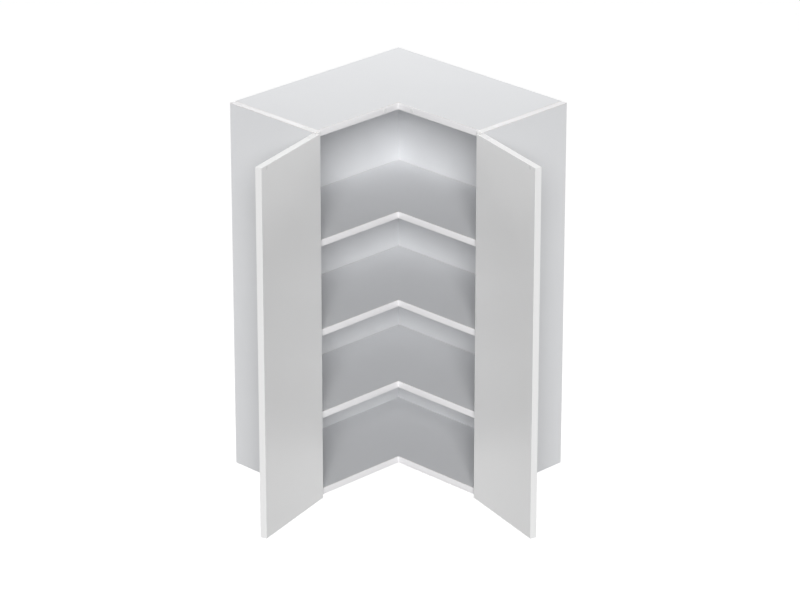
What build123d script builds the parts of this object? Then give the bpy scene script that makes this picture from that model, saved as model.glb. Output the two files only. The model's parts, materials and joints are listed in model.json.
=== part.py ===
from build123d import *
import os

# An L-shaped corner wall cabinet. The origin is the room's corner line at the cabinet's underside,
# +Z is up, the right wall is the plane y = 0 and the left wall is the plane x = 0. The cabinet is the
# same on both sides of the vertical plane x = -y, so most pieces are made on the right and mirrored.

# Driving dimensions, in millimetres and degrees
wall_leg = 600
depth = 300
height = 1000
board = 18
back_board = 16
hanging_void = 18
edging = 1
shelf_tops = {"lower": 232, "middle": 460, "upper": 704}
shelf_setback = 2
shelf_clearance = 1

door_board = 18
door_gap = 2
door_side_margin = 1
door_corner_gap = 3
door_edge_radius = 0.8
open_angle = 165

rail_height = 80
wall_hole_radius = 4
wall_hole_from_corner = 120
wall_hole_from_end = 110
back_screw_from_ends = 50
corner_screw_spread = 15

cam_radius = 7.4
cam_setback = 34
cam_wall = 0.9
cam_from_edges = 60
cam_cross = (8, 1.6, 2.5)
bolt_shaft_radius = 3.5
bolt_neck_radius = 2
bolt_head_radius = 3.2
bolt_head_length = 3
bolt_thread_radius = 2.5
bolt_thread_length = 11
dowel_radius = 4
dowel_length = 30
dowel_in_end = 10
dowel_chamfer = 1
dowel_from_edges = 100
rail_dowel_spread = 20

pin_stem_radius = 2.45
pin_stem_length = 9.5
pin_collar_radius = 3.5
pin_collar_length = 0.8
pin_nose_radius = 4.5
pin_nose_length = 8
pin_from_edges = 37
pin_from_corner = 70
pin_hole_depth = 10

pivot_from_side = 4
pivot_corner_clearance = 0.4
pivot_pin_radius = 2
pivot_pin_end_gap = 0.2
plate_width = 12
plate_side_gap = 0.4
plate_front_gap = 0.5
frame_plate_thickness = 2
frame_plate_reach = 45
frame_plate_screw_rows = (14, 34)
door_plate_thickness = 2.5
door_plate_length = 45
door_plate_screw_rows = (12, 32)
washer_thickness = 0.5
fixed_pin_clearance = 0.02
running_clearance = 0.05

catch_from_free_edge = 25
catch_air_gap = 0.3
sleeve_radius = 5.5
sleeve_cap = 0.6
magnet_radius = 4
magnet_length = 12
magnet_end_gap = 0.4
strike_radius = 5
strike_thickness = 1.5
strike_stem = (2.4, 9)

fit_clearance = 0.1
hole_end_clearance = 0.5
screw_cone_angle = 90
recess_share = 0.55
recess_width = 0.7
recess_depth = 0.9
# head radius, shank radius and length of each screw
plate_screw = (2.7, 1.5, 30)
back_screw = (3.8, 2, 30)
corner_screw = (3.8, 2, 45)

# Places that follow from them
symmetry_plane = Plane(origin=(0, 0, 0), z_dir=(1, 1, 0))
end_face = wall_leg - board
board_front = depth - edging
back_face = hanging_void + back_board
shelf_front = board_front - shelf_setback
undersides = {"bottom": 0, "top": height - board}
rail_lows = {"lower": board, "upper": height - board - rail_height}
rail_middles = [low + rail_height / 2 for low in rail_lows.values()]
wall_hole_rows = [wall_hole_from_corner, wall_leg - wall_hole_from_end]

door_front = door_gap + door_board
pivot_to_edge = pivot_from_side - door_side_margin
# The pivot is far enough forward for the door's outer corner to turn clear of the end panel, so that
# the sides stay flush for a neighbouring cabinet
pivot_forward = (door_front**2 + pivot_to_edge**2) / (2 * door_front) + pivot_corner_clearance
door_end_margin = frame_plate_thickness + washer_thickness
door_z = (door_end_margin, height - door_end_margin)

# The right hinge line: x runs along the closed door from the pivot, y points out of the cabinet
hinge_line = (wall_leg - pivot_from_side, -(depth + pivot_forward), 0)
right_frame_plane = Plane(origin=hinge_line, x_dir=(-1, 0, 0), z_dir=(0, 0, 1))
right_door_plane = right_frame_plane.rotated((0, 0, open_angle))
door_x = (-pivot_to_edge, hinge_line[0] - (depth + door_front + door_corner_gap))
door_y = (door_gap - pivot_forward, door_front - pivot_forward)
panel_middle = board / 2 - pivot_from_side
door_middle = (door_y[0] + door_y[1]) / 2
frame_plate_x = (panel_middle - plate_width / 2, panel_middle + plate_width / 2)
frame_plate_back = -(pivot_forward + frame_plate_reach)
door_plate_x = (door_x[0], door_x[0] + door_plate_length)
door_plate_y = (door_middle - plate_width / 2, door_middle + plate_width / 2)
nose_radius = pivot_from_side - plate_side_gap
# the cabinet's top and bottom faces, and the way that each one faces
ends = {"top": (height, 1), "bottom": (0, -1)}

os.makedirs("parts", exist_ok=True)


def save(part, name):
    part.label = name
    export_step(part, f"parts/{name}.step")


def on_left(right_part):
    """The mirror image of a right-hand piece."""
    with BuildPart() as left:
        mirror(right_part, about=symmetry_plane)
    return left.part


def save_both(right_part, name):
    """The right-hand piece as it is, and its mirror image on the left."""
    save(right_part, f"right_{name}")
    save(on_left(right_part), f"left_{name}")


def block(x_range, y_range, z_range, plane=Plane.XY, mode=Mode.ADD):
    """A box between two limits on each axis of a plane, in the current builder."""
    with BuildSketch(plane.offset(z_range[0])) as footprint:
        with Locations(((x_range[0] + x_range[1]) / 2, (y_range[0] + y_range[1]) / 2)):
            Rectangle(x_range[1] - x_range[0], y_range[1] - y_range[0])
    extrude(footprint.sketch, amount=z_range[1] - z_range[0], mode=mode)


def grown(limits):
    """Two limits with the fit clearance outside each."""
    return (limits[0] - fit_clearance, limits[1] + fit_clearance)


def layer(end, start, thickness):
    """The height limits of a layer that starts some way in from the cabinet's top or bottom face."""
    face_z, outward = ends[end]
    return tuple(sorted((face_z - outward * start, face_z - outward * (start + thickness))))


def half_l_board(inner, outer, end, low, thickness):
    """The right half of an L-shaped board, cut along the cabinet's diagonal."""
    with BuildSketch(Plane.XY.offset(low)) as footprint:
        with BuildLine():
            Polyline((inner, -inner), (end, -inner), (end, -outer), (outer, -outer), close=True)
        make_face()
    extrude(footprint.sketch, amount=thickness)


def facing(points, direction):
    """Places at the points, with +Z along the direction that leaves the material."""
    return [Plane(origin=point, z_dir=direction).location for point in points]


def screw_holes(places, screw):
    head_radius, shank_radius, length = screw
    with Locations(*places):
        CounterSinkHole(
            shank_radius + fit_clearance,
            head_radius + fit_clearance,
            length + hole_end_clearance,
            screw_cone_angle,
        )


def screws(places, screw):
    """Countersunk cross-head screws, their heads flush with the places and pointing down -Z."""
    head_radius, shank_radius, length = screw
    shank_start = head_radius - shank_radius
    with BuildPart() as one_screw:
        with BuildSketch(Plane.XZ):
            with BuildLine():
                Polyline(
                    (0, 0),
                    (head_radius, 0),
                    (shank_radius, -shank_start),
                    (shank_radius, 2 * shank_radius - length),
                    (0, -length),
                    close=True,
                )
            make_face()
        revolve(axis=Axis.Z)
        with BuildSketch():
            Rectangle(2 * recess_share * head_radius, recess_width)
            Rectangle(recess_width, 2 * recess_share * head_radius)
        extrude(amount=-recess_depth, mode=Mode.SUBTRACT)
    with BuildPart() as group:
        with Locations(*places):
            add(one_screw.part)
    return group.part


# Places shared by the pieces and their holes, on the right-hand side
right_wall_holes = facing([(x, 0, z) for x in wall_hole_rows for z in rail_middles], (0, 1, 0))
back_screw_rows = [back_face + back_screw_from_ends, wall_leg / 2, end_face - back_screw_from_ends]
right_back_screws = facing([(x, 0, z) for x in back_screw_rows for z in rail_middles], (0, 1, 0))
corner_screws = facing(
    [
        (0, -hanging_void / 2, z + side * corner_screw_spread)
        for z in rail_middles
        for side in (-1, 1)
    ],
    (-1, 0, 0),
)
bolt_bore = bolt_shaft_radius + fit_clearance
cam_depth = board / 2 + bolt_bore + cam_wall
cam_rows = [-cam_from_edges, -(depth - cam_from_edges)]
dowel_rows = [-dowel_from_edges, -(depth - dowel_from_edges)]
rail_dowels_right = [
    (end_face, -hanging_void / 2, z + side * rail_dowel_spread)
    for z in rail_middles
    for side in (-1, 1)
]
catch_middle = depth + door_gap + door_board + door_corner_gap + catch_from_free_edge
catch_z = height - board / 2
catch_places = facing([(catch_middle, -depth, catch_z)], (0, -1, 0))
sleeve_proud = door_gap - catch_air_gap
magnet_room = magnet_length + magnet_end_gap
sleeve_in_board = sleeve_cap + magnet_room - sleeve_proud
pin_heights = {name: top - board - pin_collar_radius for name, top in shelf_tops.items()}
pin_rows = [-(back_face + pin_from_edges), -(depth - pin_from_edges)]


def end_pins(pin_z):
    """Pin places of one shelf on the right end panel's inner face."""
    return facing([(end_face, y, pin_z) for y in pin_rows], (-1, 0, 0))


def back_pins(pin_z):
    """Pin place of one shelf on the right back panel's inner face."""
    return facing([(back_face + pin_from_corner, -back_face, pin_z)], (0, -1, 0))


def plate_screws(plane, points, inset):
    """Screw places on the outer faces of one side's top and bottom pivot plates."""
    places = []
    for face_z, outward in ends.values():
        on_face = [plane.from_local_coords((x, y, face_z - outward * inset)) for x, y in points]
        places += facing(on_face, (0, 0, outward))
    return places


frame_screw_points = [(panel_middle, -(pivot_forward + row)) for row in frame_plate_screw_rows]
door_screw_points = [(row, door_middle) for row in door_plate_screw_rows]
right_frame_screws = plate_screws(right_frame_plane, frame_screw_points, 0)
right_door_screws = plate_screws(right_door_plane, door_screw_points, door_end_margin)


def catch_bore():
    """The hole in the top's front edge that takes a catch's sleeve."""
    with Locations(*catch_places):
        Hole(sleeve_radius + fit_clearance, depth=sleeve_in_board + hole_end_clearance)


# Top and bottom: L-shaped boards between the end panels
for name, underside in undersides.items():
    bolt_z = underside + board / 2
    with BuildPart() as l_board:
        half_l_board(0, board_front, end_face, underside, board)
        with Locations(*facing([(end_face - cam_setback, y, underside) for y in cam_rows], (0, 0, -1))):
            Hole(cam_radius + fit_clearance, depth=cam_depth + hole_end_clearance)
        with Locations(*facing([(end_face, y, bolt_z) for y in cam_rows], (1, 0, 0))):
            Hole(bolt_bore, depth=cam_setback)
        with Locations(*facing([(end_face, y, bolt_z) for y in dowel_rows], (1, 0, 0))):
            Hole(dowel_radius + fit_clearance, depth=dowel_length - dowel_in_end + hole_end_clearance)
        if name == "top":
            catch_bore()
        mirror(about=symmetry_plane)
    save(l_board.part, f"{name}_panel")

    with BuildPart() as strip:
        half_l_board(board_front, depth, end_face, underside, board)
        if name == "top":
            catch_bore()
        mirror(about=symmetry_plane)
    save(strip.part, f"{name}_panel_edging")

    # Cams in the underside, each drawing a bolt's head towards the panel
    with BuildPart() as cam:
        with BuildSketch():
            Circle(cam_radius)
        extrude(amount=cam_depth)
        with BuildSketch():
            Rectangle(cam_cross[0], cam_cross[1])
            Rectangle(cam_cross[1], cam_cross[0])
        extrude(amount=cam_cross[2], mode=Mode.SUBTRACT)
        with Locations(*facing([(cam_radius, 0, board / 2)], (1, 0, 0))):
            Hole(bolt_bore, depth=cam_radius + bolt_head_length)
    with BuildPart() as cams:
        with Locations(*[(end_face - cam_setback, y, underside) for y in cam_rows]):
            add(cam.part)
        mirror(about=symmetry_plane)
    save(cams.part, f"{name}_cams")

    with BuildPart() as cam_bolt:
        head_end = bolt_head_length / 2
        neck_end = cam_radius + hole_end_clearance
        with BuildSketch(Plane.XZ):
            with BuildLine():
                Polyline(
                    (-head_end, 0),
                    (-head_end, bolt_head_radius),
                    (head_end, bolt_head_radius),
                    (head_end, bolt_neck_radius),
                    (neck_end, bolt_neck_radius),
                    (neck_end, bolt_shaft_radius),
                    (cam_setback, bolt_shaft_radius),
                    (cam_setback, bolt_thread_radius),
                    (cam_setback + bolt_thread_length, bolt_thread_radius),
                    (cam_setback + bolt_thread_length, 0),
                    close=True,
                )
            make_face()
        revolve(axis=Axis.X)
    with BuildPart() as cam_bolts:
        with Locations(*[(end_face - cam_setback, y, bolt_z) for y in cam_rows]):
            add(cam_bolt.part)
        mirror(about=symmetry_plane)
    save(cam_bolts.part, f"{name}_cam_bolts")


def dowels(places):
    """Wooden dowels that stand out of the right end panel's inner face into the boards."""
    with BuildPart() as dowel:
        with BuildSketch(Plane.YZ.offset(dowel_in_end - dowel_length)):
            Circle(dowel_radius)
        extrude(amount=dowel_length)
        chamfer(dowel.edges().filter_by(GeomType.CIRCLE), length=dowel_chamfer)
    with BuildPart() as group:
        with Locations(*places):
            add(dowel.part)
        mirror(about=symmetry_plane)
    return group.part


panel_dowels_right = [(end_face, y, low + board / 2) for y in dowel_rows for low in undersides.values()]
save(dowels(panel_dowels_right), "panel_dowels")
save(dowels(rail_dowels_right), "rail_dowels")


def frame_plate_seats():
    """Sinks the right frame plates flush into the end panel's top and bottom."""
    for end in ends:
        seat_z = layer(end, 0, frame_plate_thickness)
        block(grown(frame_plate_x), (frame_plate_back - fit_clearance, 0), seat_z, right_frame_plane,
              Mode.SUBTRACT)
    screw_holes(right_frame_screws, plate_screw)


# End panels, full height, with the other boards between them
bolt_places_right = [(end_face, y, low + board / 2) for y in cam_rows for low in undersides.values()]
with BuildPart() as right_end_panel:
    block((end_face, wall_leg), (-board_front, 0), (0, height - edging))
    with Locations(*facing(bolt_places_right, (-1, 0, 0))):
        Hole(bolt_thread_radius + fit_clearance, depth=bolt_thread_length + hole_end_clearance)
    with Locations(*facing(panel_dowels_right + rail_dowels_right, (-1, 0, 0))):
        Hole(dowel_radius + fit_clearance, depth=dowel_in_end + hole_end_clearance)
    for pin_z in pin_heights.values():
        with Locations(*end_pins(pin_z)):
            Hole(pin_stem_radius + fit_clearance, depth=pin_hole_depth)
    frame_plate_seats()
save_both(right_end_panel.part, "end_panel")

with BuildPart() as right_front_edging:
    block((end_face, wall_leg), (-depth, -board_front), (0, height))
    frame_plate_seats()
save_both(right_front_edging.part, "end_panel_front_edging")

with BuildPart() as right_top_edging:
    block((end_face, wall_leg), (-board_front, 0), (height - edging, height))
    frame_plate_seats()
save_both(right_top_edging.part, "end_panel_top_edging")

# Backs, held off the walls by the hanging rails
back_z = (board, height - board)


def back_panel(corner_end):
    with BuildPart() as panel:
        block((corner_end, end_face), (-back_face, -hanging_void), back_z)
        with Locations(*right_wall_holes):
            Hole(wall_hole_radius, depth=back_face)
        screw_holes(right_back_screws, back_screw)
        for pin_z in pin_heights.values():
            with Locations(*back_pins(pin_z)):
                Hole(pin_stem_radius + fit_clearance, depth=pin_hole_depth)
    return panel.part


def hanging_rail(corner_end, rail_z):
    with BuildPart() as rail:
        block((corner_end, end_face), (-hanging_void, 0), rail_z)
        with Locations(*right_wall_holes):
            Hole(wall_hole_radius, depth=back_face)
        screw_holes(right_back_screws, back_screw)
        with Locations(*facing(rail_dowels_right, (1, 0, 0))):
            Hole(dowel_radius + fit_clearance, depth=dowel_length - dowel_in_end + hole_end_clearance)
    return rail.part


save(back_panel(back_face), "right_back_panel")
save(on_left(back_panel(hanging_void)), "left_back_panel")

# Hanging rails behind the backs. The left ones run into the corner and the right ones butt on them.
for name, low in rail_lows.items():
    rail_z = (low, low + rail_height)
    with BuildPart() as right_rail:
        add(hanging_rail(hanging_void, rail_z))
        screw_holes(corner_screws, corner_screw)
    save(right_rail.part, f"{name}_right_hanging_rail")

    with BuildPart() as left_rail:
        add(on_left(hanging_rail(0, rail_z)))
        screw_holes(corner_screws, corner_screw)
    save(left_rail.part, f"{name}_left_hanging_rail")

with BuildPart() as back_screws:
    add(screws(right_back_screws, back_screw))
    mirror(about=symmetry_plane)
save(back_screws.part, "back_panel_screws")
save(screws(corner_screws, corner_screw), "rail_corner_screws")

# Shelves, each an L-shaped board that rests on six pins
shelf_end = end_face - shelf_clearance
with BuildPart() as shelf_pin:
    with BuildSketch():
        Circle(pin_stem_radius)
    extrude(amount=-pin_stem_length)
    with BuildSketch():
        Circle(pin_collar_radius)
    extrude(amount=pin_collar_length)
    with BuildSketch(Plane.XY.offset(pin_collar_length)):
        Circle(pin_nose_radius)
    extrude(amount=pin_nose_length)
    split(bisect_by=Plane(origin=(0, pin_collar_radius, 0), z_dir=(0, 1, 0)), keep=Keep.BOTTOM)

for name, top in shelf_tops.items():
    shelf_low = top - board
    with BuildPart() as shelf:
        half_l_board(back_face + shelf_clearance, shelf_front, shelf_end, shelf_low, board)
        mirror(about=symmetry_plane)
    save(shelf.part, f"{name}_shelf")

    with BuildPart() as shelf_strip:
        half_l_board(shelf_front, shelf_front + edging, shelf_end, shelf_low, board)
        mirror(about=symmetry_plane)
    save(shelf_strip.part, f"{name}_shelf_edging")

    pin_z = pin_heights[name]
    flat_side_up = [Plane(origin=(end_face, y, pin_z), x_dir=(0, -1, 0), z_dir=(-1, 0, 0)) for y in pin_rows]
    on_back = (back_face + pin_from_corner, -back_face, pin_z)
    flat_side_up.append(Plane(origin=on_back, x_dir=(1, 0, 0), z_dir=(0, -1, 0)))
    with BuildPart() as shelf_pins:
        with Locations(*[plane.location for plane in flat_side_up]):
            add(shelf_pin.part)
        mirror(about=symmetry_plane)
    save(shelf_pins.part, f"{name}_shelf_pins")


# Doors, in the open pose
strike_place = Plane(
    origin=right_door_plane.from_local_coords((door_x[1] - catch_from_free_edge, door_y[0], catch_z)),
    z_dir=-right_door_plane.y_dir,
)
with BuildPart() as plain_door:
    block(door_x, door_y, door_z, right_door_plane)
    fillet(plain_door.edges(), radius=door_edge_radius)

with BuildPart() as right_door:
    add(plain_door.part)
    for end in ends:
        seat_z = layer(end, door_end_margin, door_plate_thickness)
        block(grown(door_plate_x), grown(door_plate_y), seat_z, right_door_plane, Mode.SUBTRACT)
    screw_holes(right_door_screws, plate_screw)
    with Locations(strike_place.location):
        CounterBoreHole(
            strike_stem[0] + fit_clearance,
            strike_radius + fit_clearance,
            strike_thickness,
            strike_stem[1] + hole_end_clearance,
        )
save_both(right_door.part, "door")

with BuildPart() as right_strike:
    with BuildSketch(strike_place):
        Circle(strike_radius)
    extrude(amount=-strike_thickness)
    with BuildSketch(strike_place.offset(-strike_thickness)):
        Circle(strike_stem[0])
    extrude(amount=strike_thickness - strike_stem[1])
save_both(right_strike.part, "door_strike")


# Pivot hinges at the top and bottom of each door: a plate let into the end panel reaches over the
# door's edge and holds a pin, which turns in a plate let into the door
def disc(z_range, radius, bore=0):
    """A round piece on the right hinge line, in the current builder."""
    with BuildSketch(right_frame_plane.offset(z_range[0])) as face:
        Circle(radius)
        if bore:
            Circle(bore, mode=Mode.SUBTRACT)
    extrude(face.sketch, amount=z_range[1] - z_range[0])


def pin_hole(z_range, clearance):
    with Locations(right_frame_plane.offset(z_range[1]).location):
        Hole(pivot_pin_radius + clearance, depth=z_range[1] - z_range[0])


step_y = plate_front_gap - pivot_forward
for end in ends:
    frame_z = layer(end, 0, frame_plate_thickness)
    with BuildPart() as right_frame_plate:
        with BuildSketch(right_frame_plane.offset(frame_z[0])) as outline:
            with BuildLine():
                Polyline(
                    (frame_plate_x[0], frame_plate_back),
                    (frame_plate_x[1], frame_plate_back),
                    (frame_plate_x[1], nose_radius),
                    (-nose_radius, nose_radius),
                    (-nose_radius, step_y),
                    (frame_plate_x[0], step_y),
                    close=True,
                )
            make_face()
            fillet(outline.vertices().group_by(Axis.Y)[-1], radius=nose_radius)
        extrude(amount=frame_plate_thickness)
        pin_hole(frame_z, fixed_pin_clearance)
        screw_holes(right_frame_screws, plate_screw)
    save_both(right_frame_plate.part, f"{end}_pivot_frame_plate")

    plate_z = layer(end, door_end_margin, door_plate_thickness)
    with BuildPart() as right_door_plate:
        block(door_plate_x, door_plate_y, plate_z, right_door_plane)
        add(plain_door.part, mode=Mode.INTERSECT)
        pin_hole(plate_z, running_clearance)
        screw_holes(right_door_screws, plate_screw)
    save_both(right_door_plate.part, f"{end}_pivot_door_plate")

pin_length = frame_plate_thickness + washer_thickness + door_plate_thickness - pivot_pin_end_gap
with BuildPart() as right_pivot_pins:
    for end in ends:
        disc(layer(end, 0, pin_length), pivot_pin_radius)
save_both(right_pivot_pins.part, "pivot_pins")

with BuildPart() as right_pivot_washers:
    for end in ends:
        washer_z = layer(end, frame_plate_thickness, washer_thickness)
        disc(washer_z, nose_radius, pivot_pin_radius + running_clearance)
save_both(right_pivot_washers.part, "pivot_washers")

save_both(screws(right_frame_screws, plate_screw), "frame_plate_screws")
save_both(screws(right_door_screws, plate_screw), "door_plate_screws")

# Magnetic catches, pushed into the top's front edge beside the inner corner. Each is a sleeve with a
# closed front, and a magnet that is put in from behind.
cap_back = Plane(catch_places[0]).offset(sleeve_proud - sleeve_cap)
with BuildPart() as right_catch_sleeve:
    with BuildSketch(cap_back.offset(sleeve_cap)):
        Circle(sleeve_radius)
    extrude(amount=-(sleeve_cap + magnet_room))
    with BuildSketch(cap_back):
        Circle(magnet_radius + fit_clearance)
    extrude(amount=-magnet_room, mode=Mode.SUBTRACT)
save_both(right_catch_sleeve.part, "catch_sleeve")

with BuildPart() as magnets:
    with BuildSketch(cap_back):
        Circle(magnet_radius)
    extrude(amount=-magnet_length)
    mirror(about=symmetry_plane)
save(magnets.part, "catch_magnets")
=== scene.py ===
# %% [markdown]
# A corner wall cabinet, dressed for its picture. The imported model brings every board, door, pivot and
# screw at its real size. This lesson adds what the maker's finishing adds: board faces with a fine
# pressed texture, rounded edging, lacquer, plated metal, and the light and camera to see them by.
# Lengths are metres. The room's corner line is the origin, +Z is up.

# %% Load the frame
import json
import math

import bmesh
import bpy
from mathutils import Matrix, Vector


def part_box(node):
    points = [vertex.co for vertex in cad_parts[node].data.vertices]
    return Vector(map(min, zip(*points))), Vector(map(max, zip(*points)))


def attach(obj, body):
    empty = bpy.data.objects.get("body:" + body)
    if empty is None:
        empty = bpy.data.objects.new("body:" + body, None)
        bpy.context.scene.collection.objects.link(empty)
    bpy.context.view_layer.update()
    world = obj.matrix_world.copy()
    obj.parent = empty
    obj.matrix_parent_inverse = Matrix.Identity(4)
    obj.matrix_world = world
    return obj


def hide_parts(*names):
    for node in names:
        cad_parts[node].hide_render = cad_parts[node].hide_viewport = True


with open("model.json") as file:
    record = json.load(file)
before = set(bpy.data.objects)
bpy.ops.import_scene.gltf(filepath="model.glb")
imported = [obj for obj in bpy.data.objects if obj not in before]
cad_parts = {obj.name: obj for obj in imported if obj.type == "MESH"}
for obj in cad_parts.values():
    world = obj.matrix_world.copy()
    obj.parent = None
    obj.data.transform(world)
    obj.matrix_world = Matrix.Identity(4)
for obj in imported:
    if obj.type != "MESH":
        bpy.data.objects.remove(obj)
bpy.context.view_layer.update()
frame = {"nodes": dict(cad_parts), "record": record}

MM = 0.001
nodes = frame["nodes"]

# %% [markdown]
# The camera looks along the cabinet's diagonal from far off, so upright lines stay upright and the two
# halves mirror each other. A long lens does that: near the cabinet, a short one would splay the doors.

# %% Camera
LENS_MM = 180
SENSOR_MM = 36
FAR_CLIP = 100
CAMERA_DISTANCE = 10.42
CAMERA_ELEVATION = math.radians(22.8)
AIM = Vector((0.2148, -0.2092, 0.407))

diagonal = Vector((1, -1, 0)).normalized()
toward_camera = diagonal * math.cos(CAMERA_ELEVATION) + Vector((0, 0, math.sin(CAMERA_ELEVATION)))
camera_data = bpy.data.cameras.new("long_lens")
camera_data.lens = LENS_MM
camera_data.sensor_width = SENSOR_MM
camera_data.clip_end = FAR_CLIP
camera = bpy.data.objects.new("camera", camera_data)
bpy.context.scene.collection.objects.link(camera)
camera.location = AIM + toward_camera * CAMERA_DISTANCE
camera.rotation_euler = toward_camera.to_track_quat("Z", "Y").to_euler()
bpy.context.scene.camera = camera
print("camera at", [round(v, 2) for v in camera.location])

# %% [markdown]
# A material is a small net of nodes. Three helpers keep each net readable: one turns a colour as a
# painter would write it into the linear values that light adds up in, one adds a node with its settings
# and links, and one starts a material with a shader that is already joined to the output.

# %% Helpers for materials
def linear(hex_colour):
    """An sRGB hex colour as the linear values that a shader expects."""
    channels = [int(hex_colour[i:i + 2], 16) / 255 for i in (1, 3, 5)]
    return [c / 12.92 if c <= 0.04045 else ((c + 0.055) / 1.055) ** 2.4 for c in channels] + [1]


def node(tree, kind, settings=None, links=None):
    """Adds a shader node, sets its properties and sockets, and links sockets from other nodes."""
    made = tree.nodes.new(kind)
    for key, value in (settings or {}).items():
        if isinstance(key, int) or key in made.inputs:
            made.inputs[key].default_value = value
        else:
            setattr(made, key, value)
    for socket, source in (links or {}).items():
        tree.links.new(source, made.inputs[socket])
    return made


def new_material(name):
    """An empty material and its principled shader, joined to the output."""
    material = bpy.data.materials.new(name)
    material.use_nodes = True
    tree = material.node_tree
    tree.nodes.clear()
    output = node(tree, "ShaderNodeOutputMaterial")
    shader = node(tree, "ShaderNodeBsdfPrincipled")
    tree.links.new(shader.outputs["BSDF"], output.inputs["Surface"])
    return material, tree, shader


# %% [markdown]
# A wall cabinet hangs about 1.4 m above the floor, so the floor is set that far below it. It reads full
# white to the camera, but not to the light that falls on things: its glow is switched on only for what
# looks at it directly. The paint itself is a mid grey, because a white floor would throw the lamps' light
# back up and over-light the lowest edges. It still takes the cabinet's shadow.

# %% Floor
FLOOR_DROP = 1.4
FLOOR_SIZE = 40
FLOOR_PAINT = "#A8A8A8"
FLOOR_ROUGHNESS = 0.9
GROUND = 1.0
LIT_BY_LAMPS = 0.20


def seen_directly(tree):
    """1 for what the camera, a gloss or a glass sees, and 0 for the light that falls on things."""
    path = node(tree, "ShaderNodeLightPath")
    seen = path.outputs["Is Camera Ray"]
    for ray in ("Is Glossy Ray", "Is Transmission Ray"):
        either = node(tree, "ShaderNodeMath", {"operation": "MAXIMUM"}, {0: seen, 1: path.outputs[ray]})
        seen = either.outputs[0]
    return seen


bpy.ops.object.select_all(action="DESELECT")
bpy.ops.mesh.primitive_plane_add(size=FLOOR_SIZE, location=(0, 0, -FLOOR_DROP))
floor = bpy.context.object
floor.name = "studio_floor"
floor_material, floor_tree, floor_shader = new_material("painted_studio_floor")
floor_shader.inputs["Base Color"].default_value = linear(FLOOR_PAINT)
floor_shader.inputs["Roughness"].default_value = FLOOR_ROUGHNESS
lift = node(floor_tree, "ShaderNodeMath", {"operation": "MULTIPLY", 1: GROUND - LIT_BY_LAMPS},
            {0: seen_directly(floor_tree)})
glow = node(floor_tree, "ShaderNodeEmission", None, {"Strength": lift.outputs[0]})
both = node(floor_tree, "ShaderNodeAddShader", None, {0: floor_shader.outputs[0], 1: glow.outputs[0]})
floor_tree.links.new(both.outputs[0], floor_tree.nodes["Material Output"].inputs["Surface"])
floor.data.materials.append(floor_material)
print("floor:", FLOOR_DROP, "m below the cabinet")

# %% [markdown]
# The surroundings show the same white to the camera, and give off only a little light, so that no corner
# is black. More of it would reach the outer walls and edges long before it reached the shelves.

# %% Surroundings
AMBIENT = 0.06

world = bpy.data.worlds.new("studio")
bpy.context.scene.world = world
world.use_nodes = True
sky = world.node_tree
sky.nodes.clear()
strength = node(sky, "ShaderNodeMapRange", {"To Min": AMBIENT, "To Max": GROUND},
                {"Value": seen_directly(sky)})
background = node(sky, "ShaderNodeBackground", {"Color": (1, 1, 1, 1)}, {"Strength": strength.outputs[0]})
node(sky, "ShaderNodeOutputWorld", None, {"Surface": background.outputs[0]})
bpy.context.scene.view_settings.view_transform = "Standard"
print("surroundings:", AMBIENT, "as light,", GROUND, "as seen")

# %% [markdown]
# Light has to reach the shelves deep inside, and the white doors must stay under full white. The hard
# case is the closed pair: each throws light on the other in the corner where they meet. A near lamp
# fails, because its light falls off on the way in, so the main light is a distant one from the camera's
# side, a sun lamp made soft by a wide angle. It gives no sheen, because on the top, seen from behind and
# low, its sheen would be full white. A lamp above and behind lights the top only, and one beyond each
# wall lights an end panel.

# %% Lamps
MAIN_DIRECTION = (1, -1, 0.65)
MAIN_STRENGTH = 2.62
MAIN_WIDTH = math.radians(20)
TOP_POWER = 86
WALL_POWER = 58
LAMP_DISTANCE = 4.5
LAMP_SIZE = 2.2
AREA_LAMPS = {
    "top_lamp": ((-1, 1, 2.2), TOP_POWER),
    "left_wall_lamp": ((-0.906, -0.423, 0.3), WALL_POWER),
    "back_wall_lamp": ((0.423, 0.906, 0.3), WALL_POWER),
}


def add_lamp(name, kind, direction, energy):
    """A lamp that shines from one direction at the middle of the cabinet."""
    lamp = bpy.data.lights.new(name, kind)
    lamp.energy = energy
    lamp_object = bpy.data.objects.new(name, lamp)
    bpy.context.scene.collection.objects.link(lamp_object)
    toward_lamp = Vector(direction).normalized()
    lamp_object.location = AIM + toward_lamp * LAMP_DISTANCE
    lamp_object.rotation_euler = toward_lamp.to_track_quat("Z", "Y").to_euler()
    return lamp_object


main_light = add_lamp("main_light", "SUN", MAIN_DIRECTION, MAIN_STRENGTH)
main_light.data.angle = MAIN_WIDTH
main_light.visible_glossy = False
for name, (direction, power) in AREA_LAMPS.items():
    add_lamp(name, "AREA", direction, power).data.size = LAMP_SIZE
print("lamps:", 1 + len(AREA_LAMPS))

# %% [markdown]
# White finishes: ABS edging, lacquer, moulded plastic and powder coat are all pale and smooth, and differ
# in sheen and in the grain that the tool or the spray leaves. Each gets a fine grain, which drives
# roughness and bump, and a broad unevenness of tone, faint enough to be felt, not seen.

# %% White finishes
GRAIN_DETAIL = 2
CLOUDS_PER_METRE = 6
CLOUD_DETAIL = 3
ROUGHNESS_SPREAD = 0.06
FINE_BUMP = {"strength": 0.12, "depth_mm": 0.05}


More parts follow.
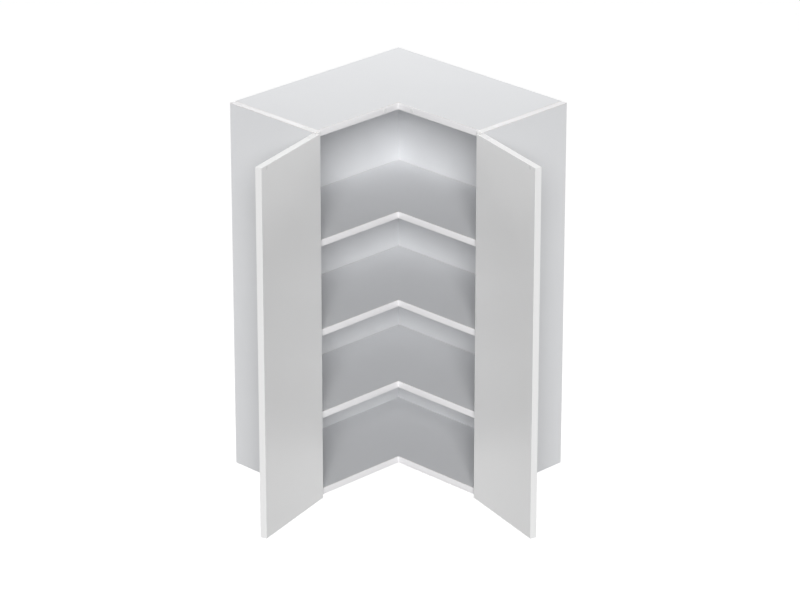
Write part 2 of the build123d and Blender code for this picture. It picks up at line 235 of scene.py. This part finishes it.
def pressed_grain(tree, place, colour, darker, grain_mm):
    """The tone and the height of a finely grained surface."""
    grain = node(tree, "ShaderNodeTexNoise", {"Scale": 1 / (grain_mm * MM), "Detail": GRAIN_DETAIL},
                 {"Vector": place})
    cloud = node(tree, "ShaderNodeTexNoise", {"Scale": CLOUDS_PER_METRE, "Detail": CLOUD_DETAIL},
                 {"Vector": place})
    tone = node(tree, "ShaderNodeMix", {"data_type": "RGBA", 6: linear(darker), 7: linear(colour)},
                {"Factor": cloud.outputs["Fac"]})
    return tone.outputs[2], grain.outputs["Fac"]


def uneven_roughness(tree, shader, pattern, roughness):
    """Roughness that follows a pattern, a little to each side of its middle value."""
    limits = {"To Min": roughness - ROUGHNESS_SPREAD, "To Max": roughness + ROUGHNESS_SPREAD}
    sheen = node(tree, "ShaderNodeMapRange", limits, {"Value": pattern})
    tree.links.new(sheen.outputs[0], shader.inputs["Roughness"])


def raised(tree, shader, height, strength, depth_mm):
    """Bumps of a given depth where the height pattern is high."""
    bump = node(tree, "ShaderNodeBump", {"Strength": strength, "Distance": depth_mm * MM}, {"Height": height})
    tree.links.new(bump.outputs[0], shader.inputs["Normal"])


def white_finish(name, colour, darker, grain_mm, roughness):
    """A smooth pale material with a fine grain."""
    material, tree, shader = new_material(name)
    place = node(tree, "ShaderNodeTexCoord").outputs["Object"]
    tone, height = pressed_grain(tree, place, colour, darker, grain_mm)
    tree.links.new(tone, shader.inputs["Base Color"])
    uneven_roughness(tree, shader, height, roughness)
    raised(tree, shader, height, **FINE_BUMP)
    return material


edge_abs = white_finish("white_abs_edging", "#F6F5F6", "#F2F1F3", grain_mm=1.5, roughness=0.39)
door_lacquer = white_finish("white_lacquered_fibreboard", "#FBFBFB", "#F8F8F8", grain_mm=2.5, roughness=0.33)
white_moulding = white_finish("moulded_white_plastic", "#F0F0F0", "#ECECEC", grain_mm=1.0, roughness=0.46)
powder_coat = white_finish("white_powder_coat", "#F2F2F2", "#EEEEEE", grain_mm=0.6, roughness=0.43)
print("white finishes:", [finish.name for finish in (edge_abs, door_lacquer, white_moulding, powder_coat)])

# %% [markdown]
# Raw chipboard shows flakes a few millimetres across in straw and brown, and beech has fine dark flecks
# along its grain. A cell pattern gives each flake its own tone, and a noise breaks it up. They are seen
# on the hanging rails, on dowels, and wherever a board is cut and not edged.

# %% Raw wood
STRAW, BARK = "#CDB38C", "#8E6D45"
FLAKE_MM = 3.0
BEECH_PALE, BEECH_DARK = "#D2AE80", "#A97F52"
BEECH_FLECK_MM = 0.8
FIBRES_PER_FLAKE = 2
FIBRE_DETAIL = 4
RAW_ROUGHNESS = 0.8
COARSE_BUMP = {"strength": 0.3, "depth_mm": 0.2}
EVEN = (1, 1, 1)
UPRIGHT_GRAIN = (1, 1, 0.2)


def flaked_wood(tree, place, light, dark, flake_mm, stretch):
    """The tone and the height of wood in flakes or flecks."""
    flakes_per_metre = 1 / (flake_mm * MM)
    fibre_settings = {"Scale": FIBRES_PER_FLAKE * flakes_per_metre, "Detail": FIBRE_DETAIL}
    turned = node(tree, "ShaderNodeMapping", {"Scale": stretch}, {"Vector": place}).outputs[0]
    flakes = node(tree, "ShaderNodeTexVoronoi", {"Scale": flakes_per_metre}, {"Vector": turned})
    fibres = node(tree, "ShaderNodeTexNoise", fibre_settings, {"Vector": turned})
    own_tone = node(tree, "ShaderNodeSeparateColor", None, {"Color": flakes.outputs["Color"]})
    share = node(tree, "ShaderNodeMath", {"operation": "MULTIPLY"},
                 {0: own_tone.outputs[0], 1: fibres.outputs["Fac"]})
    tone = node(tree, "ShaderNodeMix", {"data_type": "RGBA", 6: linear(light), 7: linear(dark)},
                {"Factor": share.outputs[0]})
    return tone.outputs[2], fibres.outputs["Fac"]


def raw_wood(name, light, dark, flake_mm, stretch):
    """An unfinished wood all over the piece."""
    material, tree, shader = new_material(name)
    place = node(tree, "ShaderNodeTexCoord").outputs["Object"]
    tone, height = flaked_wood(tree, place, light, dark, flake_mm, stretch)
    tree.links.new(tone, shader.inputs["Base Color"])
    shader.inputs["Roughness"].default_value = RAW_ROUGHNESS
    raised(tree, shader, height, **COARSE_BUMP)
    return material


chipboard = raw_wood("raw_chipboard", STRAW, BARK, FLAKE_MM, EVEN)
beech = raw_wood("beech", BEECH_PALE, BEECH_DARK, BEECH_FLECK_MM, UPRIGHT_GRAIN)
print("raw woods:", chipboard.name, beech.name)

# %% [markdown]
# Melamine-faced chipboard: a printed paper, soaked in resin, is pressed on both faces of a chipboard
# against an etched steel plate, which leaves a pearl of bumps under a millimetre apart. The face is matt
# with a soft sheen, and every cut across the board shows the chips. One material does both: it asks
# which way the surface faces, because the pressed faces look along the board's thin direction. Boards lie
# three ways, so there are three such materials.

# %% Faced boards
FACE_COLOUR, FACE_DARKER = "#E6E7E9", "#E3E4E6"
PEARL_MM = 0.8
FACE_ROUGHNESS = {"To Min": 0.56, "To Max": 0.68}
FACE_GLOSS = 0.3
FACE_BUMP_SHARE = 0.1
MOSTLY_ALONG = 0.5


def faced_board(name, thin):
    """Melamine on the faces that look along one axis of the board, and chips on the rest."""
    material, tree, shader = new_material(name)
    coordinates = node(tree, "ShaderNodeTexCoord")
    place = coordinates.outputs["Object"]
    face_tone, pearl = pressed_grain(tree, place, FACE_COLOUR, FACE_DARKER, PEARL_MM)
    core_tone, chips = flaked_wood(tree, place, STRAW, BARK, FLAKE_MM, EVEN)
    facing = node(tree, "ShaderNodeSeparateXYZ", None, {"Vector": coordinates.outputs["Normal"]})
    along = node(tree, "ShaderNodeMath", {"operation": "ABSOLUTE"}, {0: facing.outputs[thin]})
    is_face = node(tree, "ShaderNodeMath", {"operation": "GREATER_THAN", 1: MOSTLY_ALONG},
                   {0: along.outputs[0]})
    tone = node(tree, "ShaderNodeMix", {"data_type": "RGBA"},
                {0: is_face.outputs[0], 6: core_tone, 7: face_tone})
    tree.links.new(tone.outputs[2], shader.inputs["Base Color"])
    shader.inputs["Specular IOR Level"].default_value = FACE_GLOSS
    sheen = node(tree, "ShaderNodeMapRange", FACE_ROUGHNESS, {"Value": pearl})
    rough = node(tree, "ShaderNodeMix", {2: RAW_ROUGHNESS}, {0: is_face.outputs[0], 3: sheen.outputs[0]})
    tree.links.new(rough.outputs[0], shader.inputs["Roughness"])
    shallow = node(tree, "ShaderNodeMath", {"operation": "MULTIPLY", 1: FACE_BUMP_SHARE}, {0: pearl})
    height = node(tree, "ShaderNodeMix", None, {0: is_face.outputs[0], 2: chips, 3: shallow.outputs[0]})
    raised(tree, shader, height.outputs[0], **COARSE_BUMP)
    return material


def thin_axis(node_name):
    """0, 1 or 2: the axis along which a board is thinnest."""
    low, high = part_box(node_name)
    return min(range(3), key=lambda axis: high[axis] - low[axis])


boards = [faced_board("melamine_board_thin_along_" + axis, index) for index, axis in enumerate("xyz")]
print("faced boards:", len(boards), "materials, one for each thin direction")

# %% [markdown]
# Plated steel: zinc and nickel are bright but not mirrors, with faint drawn marks. The cams, screws and
# shelf pins are zinc-plated. The pivot pins and their washers are nickel-plated, and so are the magnets
# inside the catches' white sleeves.

# %% Metal materials
DRAWN_MARK_MM = 0.7
MARK_DETAIL = 3


def plated(name, colour, roughness):
    """A plated metal with faint marks in its sheen."""
    material, tree, shader = new_material(name)
    place = node(tree, "ShaderNodeTexCoord").outputs["Object"]
    marks = node(tree, "ShaderNodeTexNoise", {"Scale": 1 / (DRAWN_MARK_MM * MM), "Detail": MARK_DETAIL},
                 {"Vector": place})
    uneven_roughness(tree, shader, marks.outputs["Fac"], roughness)
    shader.inputs["Base Color"].default_value = linear(colour)
    shader.inputs["Metallic"].default_value = 1.0
    return material


zinc = plated("zinc_plated_steel", "#C6C8CB", roughness=0.34)
nickel = plated("nickel_plated_steel", "#CFCBC4", roughness=0.24)
print("metals:", zinc.name, nickel.name)

# %% [markdown]
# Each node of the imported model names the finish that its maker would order, so the materials are handed
# out by that name. Only the faced boards also need to know which way they lie.

# %% Finishes go to the nodes by their slot
finishes = {
    "white_edging": edge_abs,
    "door_lacquer": door_lacquer,
    "raw_board": chipboard,
    "beech": beech,
    "white_plastic": white_moulding,
    "white_steel": powder_coat,
    "nickel_steel": nickel,
    "zinc_steel": zinc,
}
for entry in frame["record"]["subparts"]:
    name, finish = entry["node"], entry["material_slot"]
    mesh = nodes[name].data
    mesh.materials.clear()
    mesh.materials.append(boards[thin_axis(name)] if finish == "melamine_board" else finishes[finish])
print("finishes:", len(finishes) + len(boards))

# %% [markdown]
# Edging on a real board has its two long arrises scraped round so that it doesn't cut the hand. A bevel
# does the same to each strip here, and the strip then takes the place of the square-edged node.

# %% Helpers for edging
ARRIS = 0.4 * MM
ARRIS_STEPS = 3
SMOOTH_UNDER = math.radians(30)


def only(piece):
    """Makes one object the only one selected, and the active one."""
    bpy.ops.object.select_all(action="DESELECT")
    piece.select_set(True)
    bpy.context.view_layer.objects.active = piece


def apply(piece, modifier):
    """Makes a modifier's result the piece's own mesh."""
    only(piece)
    bpy.ops.object.modifier_apply(modifier=modifier.name)


def finish_edging(strip, node_name):
    """Rounds the arrises of a strip, gives it its finish and puts it in the place of its node."""
    bevel = strip.modifiers.new("arris", "BEVEL")
    bevel.width = ARRIS
    bevel.segments = ARRIS_STEPS
    bevel.limit_method = "ANGLE"
    apply(strip, bevel)
    bpy.ops.object.shade_smooth_by_angle(angle=SMOOTH_UNDER)
    strip.data.materials.clear()
    strip.data.materials.append(edge_abs)
    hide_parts(node_name)
    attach(strip, "cabinet")


# %% [markdown]
# On an L-shaped board the edging bends round the inner corner in one strip. It starts as a cube the size
# of its right arm. The face at the corner is drawn out by the strip's thickness, and the face that then
# looks along the left arm is drawn out to that arm's end.

# %% Edging of the L-shaped boards
EDGING = 1 * MM
L_BOARDS = ("top_panel", "bottom_panel", "upper_shelf", "middle_shelf", "lower_shelf")
SAME_DIRECTION = 0.99
SAME_PLACE = 0.001 * MM


def select_faces(mesh, normal, is_there):
    """In edit mode, selects only the faces that look along normal and whose middle passes a test."""
    edit = bmesh.from_edit_mesh(mesh)
    for face in edit.faces:
        looks_along = face.normal.dot(Vector(normal)) > SAME_DIRECTION
        face.select_set(looks_along and is_there(face.calc_center_median()))
    edit.select_flush_mode()
    bmesh.update_edit_mesh(mesh)


def edging_strip(node_name):
    """One bent strip: its arms end at x = end and y = -end, and it lies between inner and outer."""
    low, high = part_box(node_name)
    end, inner = high.x, low.x
    outer = inner + EDGING
    middle = ((outer + end) / 2, -(inner + outer) / 2, (low.z + high.z) / 2)
    bpy.ops.object.select_all(action="DESELECT")
    bpy.ops.mesh.primitive_cube_add(size=1, location=middle)
    strip = bpy.context.object
    strip.name = node_name + "_rounded"
    strip.scale = (end - outer, EDGING, high.z - low.z)
    bpy.ops.object.transform_apply(location=True, rotation=True, scale=True)
    bpy.ops.object.mode_set(mode="EDIT")
    bpy.ops.mesh.select_all(action="DESELECT")
    bpy.ops.mesh.select_mode(type="FACE")
    select_faces(strip.data, (-1, 0, 0), lambda place: abs(place.x - outer) < SAME_PLACE)
    bpy.ops.mesh.extrude_region_move(TRANSFORM_OT_translate={"value": (-EDGING, 0, 0)})
    select_faces(strip.data, (0, -1, 0), lambda place: place.x < outer)
    bpy.ops.mesh.extrude_region_move(TRANSFORM_OT_translate={"value": (0, outer - end, 0)})
    bpy.ops.mesh.select_all(action="SELECT")
    bpy.ops.mesh.normals_make_consistent(inside=False)
    bpy.ops.object.mode_set(mode="OBJECT")
    finish_edging(strip, node_name)
    return strip


strips = {name: edging_strip(name + "_edging") for name in L_BOARDS}
print("edging strips on L-shaped boards:", len(strips))

# %% [markdown]
# The two catches are pushed into holes in the top's front edge, so its strip is bored like the board
# behind it. A cylinder a little wider than the catch's sleeve is cut away, after the arrises are round,
# so that the hole keeps the sharp rim of a drilled one.

# %% Holes for the catches
BORE_CLEARANCE = 0.1 * MM
BORE_SIDES = 48
ALONG_X = (0, math.pi / 2, 0)
ALONG_Y = (math.pi / 2, 0, 0)


def bore_for(node_name, board_strip, turn):
    """Drills a strip where a round node passes through it, along the node's own direction."""
    low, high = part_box(node_name)
    radius = (high.z - low.z) / 2 + BORE_CLEARANCE
    bpy.ops.object.select_all(action="DESELECT")
    bpy.ops.mesh.primitive_cylinder_add(vertices=BORE_SIDES, radius=radius, depth=(high - low).length,
                                        location=(low + high) / 2, rotation=turn)
    drill = bpy.context.object
    cut = board_strip.modifiers.new("bore", "BOOLEAN")
    cut.operation = "DIFFERENCE"
    cut.object = drill
    apply(board_strip, cut)
    bpy.data.objects.remove(drill)


bore_for("right_catch_sleeve", strips["top_panel"], ALONG_Y)
bore_for("left_catch_sleeve", strips["top_panel"], ALONG_X)
print("top strip:", len(strips["top_panel"].data.polygons), "faces after boring")

# %% [markdown]
# The end panels' own strips are straight, with a notch where a pivot plate is let in. Their outline is
# right already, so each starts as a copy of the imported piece. Its loose triangles are merged and the
# flat ones joined, so that the bevel finds real arrises and no inner seams.

# %% Edging of the end panels
FLAT_WITHIN = math.radians(1)


def rounded_copy(node_name):
    """A copy of a packed strip with its arrises rounded."""
    strip = bpy.data.objects.new(node_name + "_rounded", nodes[node_name].data.copy())
    bpy.context.scene.collection.objects.link(strip)
    only(strip)
    bpy.ops.object.mode_set(mode="EDIT")
    bpy.ops.mesh.select_all(action="SELECT")
    bpy.ops.mesh.remove_doubles(threshold=SAME_PLACE)
    bpy.ops.mesh.dissolve_limited(angle_limit=FLAT_WITHIN)
    bpy.ops.object.mode_set(mode="OBJECT")
    finish_edging(strip, node_name)
    return strip


panel_strips = [rounded_copy(f"{side}_end_panel_{edge}_edging")
                for side in ("left", "right") for edge in ("front", "top")]
print("edging strips on end panels:", len(panel_strips))
